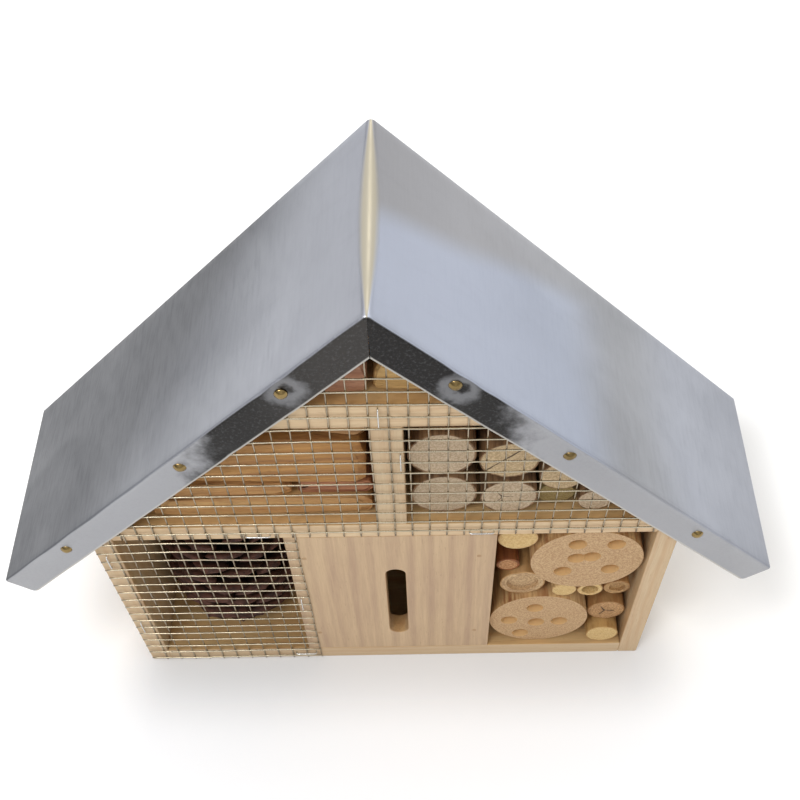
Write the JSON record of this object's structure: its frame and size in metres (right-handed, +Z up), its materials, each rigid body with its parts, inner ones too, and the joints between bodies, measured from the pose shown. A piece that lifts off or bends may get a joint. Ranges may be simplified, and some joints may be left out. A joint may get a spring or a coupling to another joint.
{
  "type": "insect hotel",
  "caption": "House-shaped wooden insect hotel with a folded sheet-metal gable roof, wire-mesh fronts, a slotted butterfly room, drilled logs, canes, split wood and a pine cone.",
  "frame": {"origin": "on the ground, under the middle of the whole object's box", "axes": "+Z up, +X to the right seen from the front, +Y towards the back; the front faces -Y"},
  "size_m": [0.3, 0.0872, 0.2293],
  "materials": {
    "box_wood": "raw sawn softwood",
    "shelf_wood": "raw planed softwood",
    "panel_wood": "raw planed softwood, pinkish",
    "back_board": "raw thin plywood",
    "roof_sheet": "galvanised sheet, half bright",
    "roof_nails": "dull yellow passivated nail",
    "nail_steel": "plain steel nail",
    "mesh_wire": "galvanised wire",
    "staple_wire": "bright galvanised wire",
    "log_wood": "sawn and drilled end grain, peeled sides",
    "cane_wood": "cut cane",
    "cane_bark": "orange-brown bark",
    "branch_wood": "sawn branch ends",
    "branch_olive": "olive bark",
    "split_wood": "split orange-brown wood",
    "split_pale": "split pale wood",
    "split_red": "split reddish wood",
    "cone_scales": "dry woody cone scales"
  },
  "bodies": {
    "root": {"floor_board": "box_wood", "left_wall": "box_wood", "right_wall": "box_wood", "left_partition": "box_wood", "right_partition": "box_wood", "left_roof_board": "box_wood", "right_roof_board": "box_wood", "middle_shelf": "shelf_wood", "upper_shelf": "shelf_wood", "upper_partition": "shelf_wood", "entrance_panel": "panel_wood", "back_panel": "back_board", "roof_sheet": "roof_sheet", "roof_nails": "roof_nails", "panel_brads": "nail_steel", "carcass_nails": "nail_steel", "back_nails": "nail_steel", "gable_mesh": "mesh_wire", "lower_mesh": "mesh_wire", "staples": "staple_wire", "drilled_log_upper": "log_wood", "drilled_log_lower": "log_wood", "cane_top": "cane_wood", "cane_ringed": "cane_wood", "cane_row_left": "cane_wood", "cane_row_hollow": "cane_wood", "cane_row_right": "cane_wood", "cane_side_upper": "cane_wood", "cane_side_lower": "cane_wood", "cane_barked": "cane_bark", "branch_a": "branch_wood", "branch_b": "branch_wood", "branch_c": "branch_wood", "branch_d": "branch_wood", "branch_e": "branch_wood", "branch_g": "branch_wood", "branch_f": "branch_olive", "chunk_big": "split_wood", "chunk_wedge": "split_wood", "chunk_base": "split_pale", "chunk_pale": "split_pale", "gable_chunk_right": "split_pale", "chunk_red": "split_red", "gable_chunk_left": "split_red", "pine_cone": "cone_scales"}
  },
  "joints": []
}
